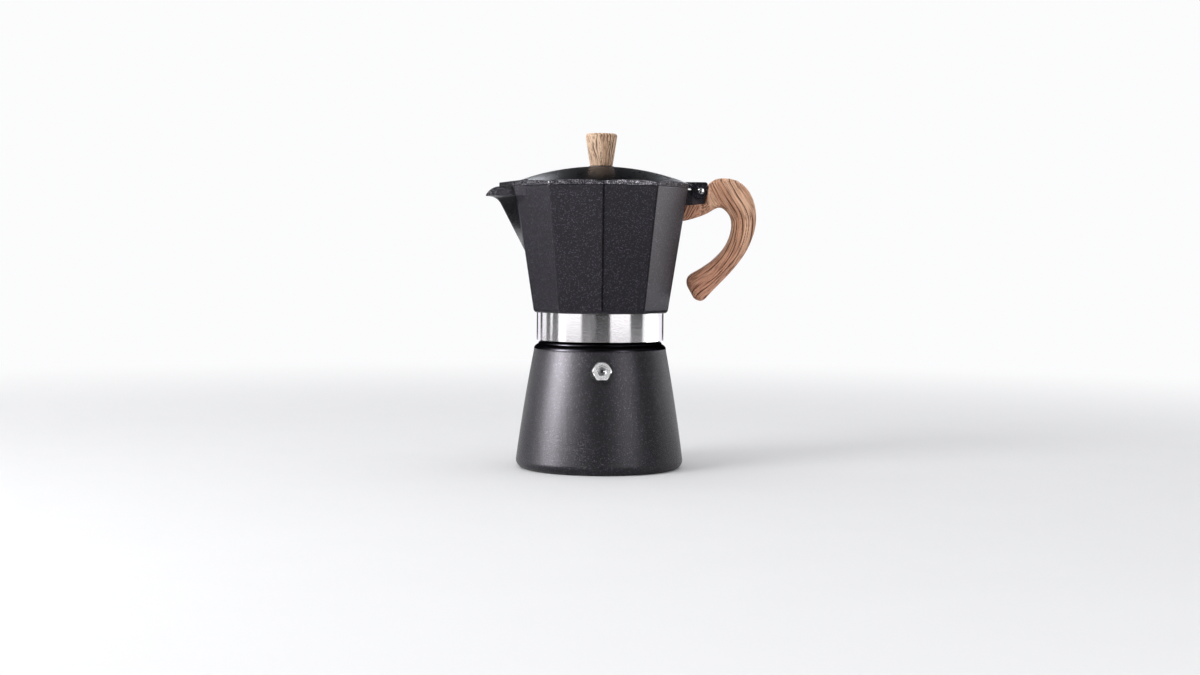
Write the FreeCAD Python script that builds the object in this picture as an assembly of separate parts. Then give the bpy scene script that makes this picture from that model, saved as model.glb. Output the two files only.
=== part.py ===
import FreeCAD, Part
import math
import os

from FreeCAD import Placement, Rotation, Vector

# Six-cup stove-top moka pot, closed and screwed together.
# Millimetres. The origin is the centre of the boiler's flat base, +Z is up, the spout
# points to -X, the handle to +X, and the safety valve faces -Y.

UP = Vector(0, 0, 1)
ALONG_Y = Vector(0, 1, 0)

# Boiler: a round casting with slightly bulging, tapered flanks
BASE_RADIUS = 46.2
FLANK_LOW = (50.0, 5.8)
FLANK_HIGH = (39.6, 70.6)
FLANK_BULGE = 0.5
BOILER_WALL = 3.2
BOILER_FLOOR = 3.6
SHOULDER_TOP = 76.2
NECK_ROOT_RADIUS = 33.3
NECK_BORE = 30.0
NECK_TOP = 87.0

# Thread between the two halves, right-handed
THREAD_PITCH = 3.0
THREAD_TURNS = 2.15
THREAD_DEPTH = 1.2
THREAD_CREST_WIDTH = 0.8
THREAD_BURIED = 0.6
THREAD_BURIED_WIDTH = 2.0
THREAD_START = 78.6

# Safety valve, square to the boiler's flank
VALVE_HEIGHT = 59.7
VALVE_BOSS = 0.45
VALVE_BOSS_RADIUS = 6.5
VALVE_SEAL = 0.9
VALVE_HEX = 10.3
VALVE_HEX_FRONT = 5.4
VALVE_SHANK_RADIUS = 4.5
VALVE_INNER_END = -8.0
VALVE_SEAT = -6.6
VALVE_BORE = 2.6
VALVE_RECESS = 3.3
VALVE_RECESS_FLOOR = 4.0
VALVE_STEM_RADIUS = 0.75
VALVE_STEM_END = 4.5
PISTON_TOP = -5.35
RETAINER_FOOT = 2.6
SPRING_WIRE = 0.22
SPRING_RADIUS = 1.5
SPRING_TURNS = 6

# Coffee basket with its stem
BASKET_RADIUS = 29.2
BASKET_WALL = 0.8
BASKET_FOOT = 59.0
BASKET_RIM_RADIUS = 33.2
BASKET_RIM = 0.8
SIEVE_LEDGE = 61.4
SIEVE_THICKNESS = 0.6
STEM_RADIUS = 5.9
STEM_BORE = 5.0
STEM_END = 8.6
HOLE_RINGS = 5
HOLE_RADIUS = 0.85
HOLE_SPACING = 4.6

# Seal between the halves
GASKET_INNER = 27.4
GASKET_OUTER = 34.2
GASKET_FOOT = 87.9
GASKET_TOP = 90.9
PLATE_TOP = 91.4

# Upper chamber: a ten-sided casting on a round, polished skirt
SIDES = 10
RIM_Z = 167.5
RIM_RADIUS = 53.6
FOOT_Z = 93.1
FOOT_RADIUS = 41.68
EDGE_FILLET = 2.4
CHAMBER_WALL = 3.0
CHAMBER_FLOOR = 97.5
SKIRT_RADIUS = 38.0
SKIRT_BORE = 34.9
SKIRT_FOOT = 76.7
SEAT_Z = 91.5
COLUMN_BORE = 3.6
COLUMN_TOP = 153.4
OUTLET_Z = 145.0

# Pouring spout: the keel runs straight up and out, then curls over into the lip
KEEL_FOOT_Z = 129.4
KEEL_BEND = (59.9, 157.4)
KEEL_ANGLE = 27.6
CURL_RADIUS = 8.6
CURL_END_ANGLE = 88.0
CURL_STEPS = 10
LIP_REACH = 68.9
LIP_WALL = 1.2
CHANNEL_FOOT_Z = 142.0
CHANNEL_OVERRUN = 0.4
NOSE_LOW = 6.0
NOSE_HIGH = 3.5
SPOUT_ROOT_LOW = (133.0, 14.0)
SPOUT_ROOT_HIGH = (165.0, 24.8)
SPOUT_WALL = 2.5
SPOUT_BACK = 36.0
SPOUT_BACK_SHARE = 0.75
LIP_START = 60.5
LIP_TIP = (68.9, 162.5)

# Hinge at the back of the rim
PIN_X = 59.4
PIN_Z = 166.0
PIN_RADIUS = 1.5
PIN_HEAD_RADIUS = 1.9
PIN_RUNNING_FIT = 0.04
BRACKET_HALF_WIDTH = 3.5
BRACKET_KNUCKLE = 3.6
EAR_INNER = 3.8
EAR_OUTER = 6.7
EAR_CENTRE = (58.9, 165.5)
EAR_RADIUS = 4.4
EAR_TOP = 171.2
EAR_SWEEP = 7.1
EAR_SLOT_HALF_WIDTH = 7.2

# Handle
HANDLE_HALF_WIDTH = 9.5
HANDLE_EDGE_RADIUS = 3.0
HANDLE_TOP_LEFT = (63.5, 168.4)
HANDLE_CURVE = (
    (66.6, 172.3),
    (73.6, 173.7),
    (81.4, 172.2),
    (88.2, 166.3),
    (92.2, 156.5),
    (92.5, 145.6),
    (87.8, 131.6),
    (77.6, 117.4),
    (64.0, 103.2),
    (60.6, 100.5),
    (57.6, 101.0),
    (54.7, 105.0),
    (52.2, 110.0),
    (52.2, 113.9),
    (57.0, 118.0),
    (64.6, 122.9),
    (73.6, 131.7),
    (78.2, 142.4),
    (77.5, 151.0),
    (71.9, 156.3),
    (64.0, 153.1),
    (55.8, 149.8),
)
TONGUE_LOW_Z = 147.9
TONGUE_HIGH_Z = 157.1
TONGUE_GAP = 0.15
BRACKET_FOOT_RIGHT = (61.9, 158.4)
HANDLE_SCREW_X = 55.4
HANDLE_SCREW_RADIUS = 1.6
HANDLE_SCREW_HEAD = 3.0
HANDLE_SCREW_TOP = 163.4
HANDLE_SEAT_Z = 153.2
WASHER = 0.6
SCREW_GAP = 0.05

# Lid
LID_FOOT = 167.8
DOME_RADIUS = 142.0
DOME_TOP = 180.2
LID_WALL = 2.3
BEAK_REACH = 60.9
BEAK_NOSE = 3.0
BEAK_ROOT_Z = 171.3
BEAK_TIP_Z = 170.1
BEAK_PLATE = 1.3

# Knob and its fixing
KNOB_FOOT = 180.3
KNOB_TOP = 199.8
KNOB_FOOT_RADIUS = 6.8
KNOB_HEAD_RADIUS = 9.7
INSERT_RADIUS = 3.0
INSERT_TOP = 190.5
KNOB_SCREW_RADIUS = 1.7
KNOB_SCREW_HEAD = 3.6
KNOB_SEAT_Z = 176.6


def at(point):
    """The point (x, z) of an upright outline, as a vector in the plane y = 0."""
    return Vector(point[0], 0, point[1])


def outline(start, *steps):
    """Face in the plane y = 0. A step is an end point, a (through, end) pair for an arc,
    or a list of points for a smooth curve."""
    edges = []
    here = start
    for step in steps + (start,):
        if isinstance(step, list):
            curve = Part.BSplineCurve()
            curve.interpolate([at(point) for point in [here] + step])
            edges.append(curve.toShape())
            here = step[-1]
        elif isinstance(step[0], tuple):
            through, end = step
            edges.append(Part.Arc(at(here), at(through), at(end)).toShape())
            here = end
        elif math.dist(here, step) > 0:
            edges.append(Part.makeLine(at(here), at(step)))
            here = step
    return Part.Face(Part.Wire(edges))


def turned(start, *steps):
    """Solid turned about Z from an outline of (radius, height) points."""
    return outline(start, *steps).revolve(Vector(0, 0, 0), UP, 360)


def plate(face, near, far):
    """Solid between y = near and y = far with the given upright face."""
    slab = face.extrude(ALONG_Y * (far - near))
    slab.translate(ALONG_Y * near)
    return slab


def cylinder(radius, low, high, x=0.0, y=0.0):
    """Upright cylinder between two heights."""
    return Part.makeCylinder(radius, high - low, Vector(x, y, low), UP)


def cross_cylinder(radius, near, far, x, z):
    """Cylinder along Y."""
    return Part.makeCylinder(radius, far - near, Vector(x, near, z), ALONG_Y)


def tube(outer, inner, low, high, x=0.0):
    """Upright ring between two heights."""
    return cylinder(outer, low, high, x).cut(cylinder(inner, low, high, x))


# Shapes shared by several pieces

def decagon(radius, height):
    """Ten-sided wire with a side, not a corner, towards -X and +X."""
    step = 2 * math.pi / SIDES
    corners = [(step * (k + 0.5)) for k in range(SIDES + 1)]
    return Part.makePolygon([
        Vector(radius * math.cos(a), radius * math.sin(a), height) for a in corners
    ])


def decagon_body(low_radius, low, high_radius, high, round_foot):
    """Ten-sided solid whose upright edges, and bottom edges if asked, are rounded."""
    body = Part.makeLoft([decagon(low_radius, low), decagon(high_radius, high)], True, True)
    edges = [e for e in body.Edges if e.BoundBox.ZLength > 0.5 * (high - low)]
    if round_foot:
        edges += [e for e in body.Edges if e.BoundBox.ZMax < low + 0.01]
    return body.makeFillet(EDGE_FILLET, edges)


def chamber_radius(height):
    """Corner radius of the chamber's outside at a height."""
    slope = (RIM_RADIUS - FOOT_RADIUS) / (RIM_Z - FOOT_Z)
    return FOOT_RADIUS + slope * (height - FOOT_Z)


def side_distance(height):
    """Distance from the axis to the chamber's flat sides at a height."""
    return chamber_radius(height) * math.cos(math.pi / SIDES)


def corner_offset(wall):
    """How far a corner moves in when every side moves in by the wall."""
    return wall / math.cos(math.pi / SIDES)


def spout_root(height):
    """Where the spout's side meets the chamber: (distance from YZ plane, half width)."""
    low_z, low_w = SPOUT_ROOT_LOW
    high_z, high_w = SPOUT_ROOT_HIGH
    half = low_w + (high_w - low_w) * (height - low_z) / (high_z - low_z)
    radius = chamber_radius(height)
    first = math.pi / SIDES
    second = 3 * math.pi / SIDES
    corner = radius * math.sin(first)
    if half <= corner:
        return radius * math.cos(first), half
    share = (half - corner) / (radius * (math.sin(second) - math.sin(first)))
    reach = math.cos(first) + share * (math.cos(second) - math.cos(first))
    return radius * reach, half


def beak_wire(height, reach, nose, root, wall=0.0):
    """Level V-shaped wire with a round nose that points to -X, drawn in by the wall."""
    root_x, root_half = root
    centre = reach - nose
    along = centre - root_x
    turn = math.atan2(root_half, along) + math.acos(nose / math.hypot(along, root_half))
    out_x = -math.cos(turn)
    out_y = math.sin(turn)
    touch = (centre + (nose - wall) * out_x, (nose - wall) * out_y)
    foot = (root_x - wall * out_x, root_half - wall * out_y)
    back = (SPOUT_BACK, SPOUT_BACK_SHARE * foot[1])
    left = [Vector(-x, y, height) for x, y in (back, foot, touch)]
    right = [Vector(-x, -y, height) for x, y in (touch, foot, back)]
    tip = Vector(wall - reach, 0, height)
    return Part.Wire([
        Part.makeLine(left[0], left[1]),
        Part.makeLine(left[1], left[2]),
        Part.Arc(left[2], tip, right[0]).toShape(),
        Part.makeLine(right[0], right[1]),
        Part.makeLine(right[1], right[2]),
        Part.makeLine(right[2], left[0]),
    ])


def perforations(low, high):
    """A field of small upright holes in rings."""
    holes = [cylinder(HOLE_RADIUS, low, high)]
    for ring in range(1, HOLE_RINGS + 1):
        for k in range(6 * ring):
            angle = 2 * math.pi * k / (6 * ring)
            reach = HOLE_SPACING * ring
            holes.append(cylinder(
                HOLE_RADIUS, low, high, reach * math.cos(angle), reach * math.sin(angle)
            ))
    return Part.makeCompound(holes)


def thread_ridge(root_radius, crest_radius, start):
    """Helical ridge from a little behind its root circle to its crest circle."""
    outward = math.copysign(1, crest_radius - root_radius)
    buried = root_radius - outward * THREAD_BURIED
    half_buried = THREAD_BURIED_WIDTH / 2
    half_crest = THREAD_CREST_WIDTH / 2
    profile = Part.makePolygon([
        Vector(buried, 0, -half_buried),
        Vector(crest_radius, 0, -half_crest),
        Vector(crest_radius, 0, half_crest),
        Vector(buried, 0, half_buried),
        Vector(buried, 0, -half_buried),
    ])
    path = Part.makeHelix(
        THREAD_PITCH, THREAD_PITCH * THREAD_TURNS, max(buried, crest_radius)
    )
    ridge = Part.Wire(path.Edges).makePipeShell([profile], True, True)
    ridge.translate(UP * start)
    return ridge


# Safety valve: built along its own axis, then set square to the flank

def flank_radius(height):
    """Outer radius of the boiler's bulging flank at a height."""
    low_r, low_z = FLANK_LOW
    high_r, high_z = FLANK_HIGH
    share = (height - low_z) / (high_z - low_z)
    bulge = 4 * FLANK_BULGE * share * (1 - share)
    return low_r + (high_r - low_r) * share + bulge


def valve_placement():
    """Placement that stands a valve piece on the flank, its +Z pointing out of the wall."""
    step = 0.5
    fall = flank_radius(VALVE_HEIGHT - step) - flank_radius(VALVE_HEIGHT + step)
    tilt = math.degrees(math.atan(fall / (2 * step)))
    seat = Vector(0, -flank_radius(VALVE_HEIGHT), VALVE_HEIGHT)
    turn = Rotation(Vector(1, 0, 0), 90 - tilt)
    return Placement(seat + turn.multVec(UP) * VALVE_BOSS, turn)


def in_valve(shape):
    """A piece built along the valve's own axis, moved onto the boiler."""
    shape.Placement = valve_placement().multiply(shape.Placement)
    return shape


def valve_body():
    hexagon = Part.makePolygon([
        Vector(
            VALVE_HEX / math.sqrt(3) * math.cos(math.radians(60 * k)),
            VALVE_HEX / math.sqrt(3) * math.sin(math.radians(60 * k)),
            VALVE_SEAL,
        ) for k in range(7)
    ])
    head = Part.Face(hexagon).extrude(UP * (VALVE_HEX_FRONT - VALVE_SEAL))
    chamfer = turned(
        (0, VALVE_SEAL), (5.7, VALVE_SEAL), (5.7, 4.5), (4.9, VALVE_HEX_FRONT),
        (0, VALVE_HEX_FRONT),
    )
    shank = cylinder(VALVE_SHANK_RADIUS, VALVE_INNER_END, VALVE_SEAL)
    hollow = turned(
        (0, VALVE_INNER_END - 1), (1.3, VALVE_INNER_END - 1), (1.3, VALVE_SEAT),
        (VALVE_BORE, VALVE_SEAT), (VALVE_BORE, VALVE_RECESS_FLOOR),
        (VALVE_RECESS, VALVE_RECESS_FLOOR), (VALVE_RECESS, VALVE_HEX_FRONT + 1),
        (0, VALVE_HEX_FRONT + 1),
    )
    return in_valve(head.common(chamfer).fuse(shank).cut(hollow).removeSplitter())


def valve_seal():
    return in_valve(tube(6.1, VALVE_SHANK_RADIUS, 0, VALVE_SEAL))


def valve_retainer():
    return in_valve(turned(
        (1.1, RETAINER_FOOT), (VALVE_BORE - 0.02, RETAINER_FOOT),
        (VALVE_BORE - 0.02, VALVE_RECESS_FLOOR), (2.3, VALVE_RECESS_FLOOR + 0.2),
        ((2.2, 4.65), (1.9, 4.8)), (1.4, 4.8), (1.1, 4.5),
    ))


def valve_piston():
    foot = VALVE_SEAT + 0.05
    return in_valve(turned(
        (0, foot), (2.2, foot), (2.2, PISTON_TOP), (VALVE_STEM_RADIUS, PISTON_TOP),
        (VALVE_STEM_RADIUS, VALVE_STEM_END - 0.2), (VALVE_STEM_RADIUS - 0.2, VALVE_STEM_END),
        (0, VALVE_STEM_END),
    ))


def valve_spring():
    low = PISTON_TOP + SPRING_WIRE + 0.03
    high = RETAINER_FOOT - SPRING_WIRE - 0.03
    pitch = (high - low) / SPRING_TURNS
    path = Part.makeHelix(pitch, high - low, SPRING_RADIUS)
    ring = Part.makeCircle(SPRING_WIRE, Vector(SPRING_RADIUS, 0, 0), ALONG_Y)
    coil = Part.Wire(path.Edges).makePipeShell([Part.Wire(ring)], True, True)
    coil.translate(UP * low)
    return in_valve(coil)


# Boiler side

def boiler():
    low_r, low_z = FLANK_LOW
    high_r, high_z = FLANK_HIGH
    mid_z = (low_z + high_z) / 2
    outside = turned(
        (0, 0), (BASE_RADIUS, 0),
        ((49.0, 1.7), FLANK_LOW),
        ((flank_radius(mid_z), mid_z), FLANK_HIGH),
        ((39.2, 72.6), (38.0, 73.7)),
        (37.0, 74.4), ((36.6, 75.3), (35.8, 75.8)),
        (NECK_ROOT_RADIUS + 1.2, SHOULDER_TOP), (NECK_ROOT_RADIUS, SHOULDER_TOP),
        (NECK_ROOT_RADIUS, NECK_TOP), (0, NECK_TOP),
    )
    inner_mid = (flank_radius(mid_z) - BOILER_WALL, mid_z)
    inside = turned(
        (0, BOILER_FLOOR), (BASE_RADIUS - 2.0, BOILER_FLOOR),
        ((46.1, 4.6), (low_r - BOILER_WALL, low_z + 1.8)),
        (inner_mid, (high_r - BOILER_WALL, high_z - 2.0)),
        ((35.2, 71.6), (NECK_BORE, 73.6)),
        (NECK_BORE, NECK_TOP + 1), (0, NECK_TOP + 1),
    )
    boss = in_valve(cylinder(VALVE_BOSS_RADIUS, -5.0, 0))
    hole = in_valve(cylinder(VALVE_SHANK_RADIUS, -9.0, 1.0))
    ridge = thread_ridge(NECK_ROOT_RADIUS, NECK_ROOT_RADIUS + THREAD_DEPTH, THREAD_START)
    return outside.fuse(boss).cut(inside).cut(hole).fuse(ridge)


def filter_funnel():
    inner = BASKET_RADIUS - BASKET_WALL
    rim_top = NECK_TOP + BASKET_RIM
    return turned(
        (BASKET_RIM_RADIUS, NECK_TOP), (BASKET_RADIUS, NECK_TOP),
        (BASKET_RADIUS, BASKET_FOOT), (STEM_RADIUS + 0.4, 50.5), (STEM_RADIUS, 46.0),
        (STEM_RADIUS, STEM_END), (STEM_BORE, STEM_END), (STEM_BORE, 47.0),
        (STEM_BORE + 0.5, 51.4), (inner - 1.2, BASKET_FOOT + 0.7),
        (inner - 1.2, SIEVE_LEDGE), (inner, SIEVE_LEDGE), (inner, rim_top),
        (BASKET_RIM_RADIUS, rim_top),
    )


def funnel_sieve():
    top = SIEVE_LEDGE + SIEVE_THICKNESS
    disc = cylinder(BASKET_RADIUS - BASKET_WALL - 0.05, SIEVE_LEDGE, top)
    return disc.cut(perforations(SIEVE_LEDGE - 1, top + 1))


# Seal between the halves

def gasket():
    bevel = 0.4
    return turned(
        (GASKET_INNER + bevel, GASKET_FOOT), (GASKET_OUTER - bevel, GASKET_FOOT),
        (GASKET_OUTER, GASKET_FOOT + bevel), (GASKET_OUTER, GASKET_TOP - bevel),
        (GASKET_OUTER - bevel, GASKET_TOP), (GASKET_INNER + bevel, GASKET_TOP),
        (GASKET_INNER, GASKET_TOP - bevel), (GASKET_INNER, GASKET_FOOT + bevel),
    )


def filter_plate():
    disc = cylinder(GASKET_OUTER - 0.2, GASKET_TOP, PLATE_TOP)
    return disc.cut(perforations(GASKET_TOP - 1, PLATE_TOP + 1))


# Upper side

def straight_keel(height):
    """Reach of the keel's straight part at a height."""
    bend_x, bend_z = KEEL_BEND
    return bend_x + (height - bend_z) * math.tan(math.radians(KEEL_ANGLE))


def curled_keel(start_wall, end_wall):
    """Points (height, reach) of the curl into the lip, or of the channel above it."""
    bend_x, bend_z = KEEL_BEND
    first = math.radians(KEEL_ANGLE)
    last = math.radians(CURL_END_ANGLE)
    centre_x = bend_x + CURL_RADIUS * math.cos(first)
    centre_z = bend_z - CURL_RADIUS * math.sin(first)
    points = []
    for k in range(CURL_STEPS + 1):
        share = k / CURL_STEPS
        angle = first + (last - first) * share
        radius = CURL_RADIUS + start_wall + (end_wall - start_wall) * share
        points.append((centre_z + radius * math.sin(angle), centre_x - radius * math.cos(angle)))
    return points


def spout(keel, wall):
    """Solid of the spout's outside, or of its channel, through level V-shaped sections."""
    wires = []
    for height, reach in keel:
        share = (height - KEEL_FOOT_Z) / (RIM_Z - KEEL_FOOT_Z)
        nose = NOSE_LOW + (NOSE_HIGH - NOSE_LOW) * share
        wires.append(beak_wire(height, reach + wall, nose + wall / 3, spout_root(height), wall))
    return Part.makeLoft(wires, True, True)


def spout_outside():
    curl = curled_keel(0, 0)
    keel = [(KEEL_FOOT_Z, straight_keel(KEEL_FOOT_Z))] + curl
    keel += [(curl[-1][0] + 0.1, LIP_REACH), (RIM_Z + 1, LIP_REACH + 0.3)]
    return spout(keel, 0).cut(lip_cutter())


def spout_channel():
    curl = curled_keel(SPOUT_WALL, LIP_WALL)
    reach = LIP_REACH + CHANNEL_OVERRUN
    keel = [(CHANNEL_FOOT_Z, straight_keel(CHANNEL_FOOT_Z) - SPOUT_WALL)] + curl
    keel += [(curl[-1][0] + 0.1, reach), (RIM_Z + 2, reach)]
    return spout(keel, SPOUT_WALL)


def lip_cutter():
    """What lies above the drooping upper edge of the spout."""
    tip_x, tip_z = LIP_TIP
    face = outline(
        (-LIP_START, RIM_Z), ((-65.9, 165.9), (-tip_x, tip_z)), (-tip_x - 6, tip_z - 1),
        (-tip_x - 6, RIM_Z + 8), (-SPOUT_BACK, RIM_Z + 8), (-SPOUT_BACK, RIM_Z),
    )
    return plate(face, -40, 40)


def column():
    """Centre column that the coffee rises through, with its two outlets."""
    shaft = turned(
        (0, CHAMBER_FLOOR - 1), (12.6, CHAMBER_FLOOR - 1), (12.4, CHAMBER_FLOOR),
        ((10.2, 98.4), (9.4, 100.8)), (6.5, 148.6),
        ((5.3, 151.7), (1.2, COLUMN_TOP)), (0, COLUMN_TOP),
    )
    outlet = cross_cylinder(1.8, -20, 20, 0, OUTLET_Z - 1.6)
    outlet = outlet.fuse(cross_cylinder(1.8, -20, 20, 0, OUTLET_Z + 1.6))
    outlet = outlet.fuse(Part.makeBox(3.6, 40, 3.2, Vector(-1.8, -20, OUTLET_Z - 1.6)))
    return shaft.cut(outlet)


def passage():
    """Skirt bore, plenum above the filter plate, and the column's bore."""
    return turned(
        (0, SKIRT_FOOT - 1), (SKIRT_BORE, SKIRT_FOOT - 1), (SKIRT_BORE, SEAT_Z),
        (26.5, SEAT_Z), (23.5, 93.4), (8.0, 94.2), (4.6, 97.0),
        (COLUMN_BORE, 104.0), (COLUMN_BORE, OUTLET_Z + 3.4),
        (COLUMN_BORE - 1.2, OUTLET_Z + 4.8), (0, OUTLET_Z + 4.8),
    )


def bracket():
    """Hinge bracket behind the rim, with a round knuckle about the pin."""
    right_x, right_z = BRACKET_FOOT_RIGHT
    inside_x = side_distance(TONGUE_HIGH_Z) - 1.0
    low_z = TONGUE_HIGH_Z - 0.1
    block = outline(
        (inside_x, low_z), (right_x, right_z), (right_x, PIN_Z - 1.5), (PIN_X, RIM_Z - 0.9),
        (inside_x, RIM_Z - 0.9),
    )
    half = BRACKET_HALF_WIDTH
    body = plate(block, -half, half)
    return body.fuse(cross_cylinder(BRACKET_KNUCKLE, -half, half, PIN_X, PIN_Z))


def skirt():
    """Round skirt below the ten-sided part, with the gasket's seat and the thread."""
    ring = cylinder(SKIRT_RADIUS, SKIRT_FOOT, FOOT_Z + 1.5).cut(passage())
    start = THREAD_START + THREAD_PITCH / 2
    return ring.fuse(thread_ridge(SKIRT_BORE, SKIRT_BORE - THREAD_DEPTH, start))


def upper_chamber():
    offset = corner_offset(CHAMBER_WALL)
    outside = decagon_body(FOOT_RADIUS, FOOT_Z, RIM_RADIUS, RIM_Z, True)
    outside = outside.fuse(spout_outside()).fuse(bracket())
    floor_radius = chamber_radius(CHAMBER_FLOOR) - offset
    above = RIM_Z + 2
    inside = decagon_body(
        floor_radius, CHAMBER_FLOOR, chamber_radius(above) - offset, above, True
    )
    body = outside.cut(inside).cut(spout_channel())
    body = body.fuse(column()).cut(passage())
    body = body.cut(cross_cylinder(PIN_RADIUS, -10, 10, PIN_X, PIN_Z))
    screw_hole = cylinder(
        HANDLE_SCREW_RADIUS + SCREW_GAP, TONGUE_HIGH_Z - 2, HANDLE_SCREW_TOP + 0.6,
        HANDLE_SCREW_X,
    )
    return body.cut(screw_hole).fuse(skirt())


def hinge_pin():
    """Pin with a low round head at each end."""
    reach = EAR_OUTER + 0.1
    shaft = cross_cylinder(PIN_RADIUS, -reach, reach, PIN_X, PIN_Z)
    rise = 0.55
    sphere = (PIN_HEAD_RADIUS ** 2 + rise ** 2) / (2 * rise)
    for side in (-1, 1):
        centre = Vector(PIN_X, side * (reach + rise - sphere), PIN_Z)
        ball = Part.makeSphere(sphere, centre)
        near, far = sorted((side * reach, side * (reach + 2)))
        shaft = shaft.fuse(ball.common(
            cross_cylinder(PIN_HEAD_RADIUS, near, far, PIN_X, PIN_Z)
        ))
    return shaft


def handle():
    tongue_low = (side_distance(TONGUE_LOW_Z) + TONGUE_GAP, TONGUE_LOW_Z)
    tongue_high = (side_distance(TONGUE_HIGH_Z) + TONGUE_GAP, TONGUE_HIGH_Z)
    face = outline(
        HANDLE_TOP_LEFT, list(HANDLE_CURVE) + [tongue_low], tongue_high, BRACKET_FOOT_RIGHT
    )
    half = HANDLE_HALF_WIDTH
    wood = plate(face, -half, half)
    flat_edges = [e for e in wood.Edges if e.BoundBox.YLength < 0.01]
    rims = [
        e for e in flat_edges
        if e.BoundBox.XMax > PIN_X + 20 or e.BoundBox.ZMin > BRACKET_FOOT_RIGHT[1] - 0.1
    ]
    wood = wood.makeFillet(HANDLE_EDGE_RADIUS, rims)
    slot = EAR_SLOT_HALF_WIDTH
    swing = cross_cylinder(EAR_SWEEP, -slot, slot, PIN_X, PIN_Z)
    above = Part.makeBox(12, 2 * slot, 12, Vector(PIN_X - 4, -slot, PIN_Z))
    recess = cylinder(HANDLE_SCREW_HEAD + 0.5, TONGUE_LOW_Z - 5, HANDLE_SEAT_Z, HANDLE_SCREW_X)
    hole = cylinder(
        HANDLE_SCREW_RADIUS + 0.2, HANDLE_SEAT_Z - 1, HANDLE_SCREW_TOP, HANDLE_SCREW_X
    )
    return wood.cut(swing).cut(above).cut(recess).cut(hole)


def handle_washer():
    low = HANDLE_SEAT_Z - WASHER
    return tube(
        HANDLE_SCREW_HEAD + 0.3, HANDLE_SCREW_RADIUS + SCREW_GAP, low, HANDLE_SEAT_Z,
        HANDLE_SCREW_X,
    )


def slotted_screw(head_radius, head_low, seat, shank_radius, top, x):
    """Screw that points up, with a slot across its low, round-edged head."""
    bevel = 0.4
    body = turned(
        (0, head_low), (head_radius - bevel, head_low), (head_radius, head_low + bevel),
        (head_radius, seat), (shank_radius, seat), (shank_radius, top - bevel),
        (shank_radius - bevel, top), (0, top),
    )
    slot = Part.makeBox(0.8, 4 * head_radius, 0.9, Vector(-0.4, -2 * head_radius, head_low))
    body = body.cut(slot)
    body.translate(Vector(x, 0, 0))
    return body


def handle_screw():
    seat = HANDLE_SEAT_Z - WASHER
    return slotted_screw(
        HANDLE_SCREW_HEAD, seat - 1.9, seat, HANDLE_SCREW_RADIUS, HANDLE_SCREW_TOP,
        HANDLE_SCREW_X,
    )


# Lid

def dome(radius, top):
    """Ball whose highest point is at the given height."""
    return Part.makeSphere(radius, Vector(0, 0, top - radius))


def beak():
    """Beak that covers the spout, with a hollow underside."""
    root = spout_root(SPOUT_ROOT_HIGH[0])
    low = beak_wire(LID_FOOT, BEAK_REACH, BEAK_NOSE, root)
    block = Part.Face(low).extrude(UP * 8)
    slope = outline(
        (-BEAK_REACH - 2, LID_FOOT - 1), (-BEAK_REACH - 2, BEAK_TIP_Z),
        (-BEAK_REACH, BEAK_TIP_Z), (-root[0], BEAK_ROOT_Z), (-SPOUT_BACK, BEAK_ROOT_Z + 0.8),
        (-SPOUT_BACK, LID_FOOT - 1),
    )
    block = block.common(plate(slope, -40, 40))
    hollow = beak_wire(LID_FOOT - 1, BEAK_REACH, BEAK_NOSE, root, LID_WALL)
    hollow = Part.Face(hollow).extrude(UP * (BEAK_TIP_Z - BEAK_PLATE - LID_FOOT + 1))
    return block, hollow


def ear(near, far):
    """Hinge ear between y = near and y = far."""
    centre_x, centre_z = EAR_CENTRE
    right = centre_x + EAR_RADIUS
    corner = 1.6
    left = centre_x - EAR_RADIUS
    inside_x = side_distance(RIM_Z) - 3.0
    face = outline(
        (inside_x, LID_FOOT), (inside_x, EAR_TOP), (right - corner, EAR_TOP),
        ((right - 0.45, EAR_TOP - 0.45), (right, EAR_TOP - corner)),
        (right, centre_z),
        ((centre_x, centre_z - EAR_RADIUS), (left, centre_z)),
        (left, LID_FOOT - 0.6), (left - 0.6, LID_FOOT),
    )
    return plate(face, near, far)


def lid():
    prism = decagon_body(RIM_RADIUS, LID_FOOT, RIM_RADIUS, DOME_TOP + 2, False)
    shell = prism.common(dome(DOME_RADIUS, DOME_TOP))
    block, beak_hollow = beak()
    shell = shell.fuse(block)
    shell = shell.fuse(cylinder(7.6, DOME_TOP - 1.5, KNOB_FOOT))
    for side in (-1, 1):
        near, far = sorted((side * EAR_INNER, side * EAR_OUTER))
        shell = shell.fuse(ear(near, far))
    inner_radius = RIM_RADIUS - corner_offset(LID_WALL)
    hollow = decagon_body(inner_radius, LID_FOOT - 1, inner_radius, DOME_TOP, False)
    hollow = hollow.common(dome(DOME_RADIUS - LID_WALL, DOME_TOP - LID_WALL))
    shell = shell.cut(hollow).cut(beak_hollow)
    shell = shell.fuse(cylinder(5.6, KNOB_SEAT_Z, DOME_TOP - 1))
    shell = shell.cut(cylinder(KNOB_SCREW_RADIUS + 0.2, KNOB_SEAT_Z - 1, KNOB_FOOT + 1))
    bore = PIN_RADIUS + PIN_RUNNING_FIT
    return shell.cut(cross_cylinder(bore, -10, 10, PIN_X, PIN_Z))


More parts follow.
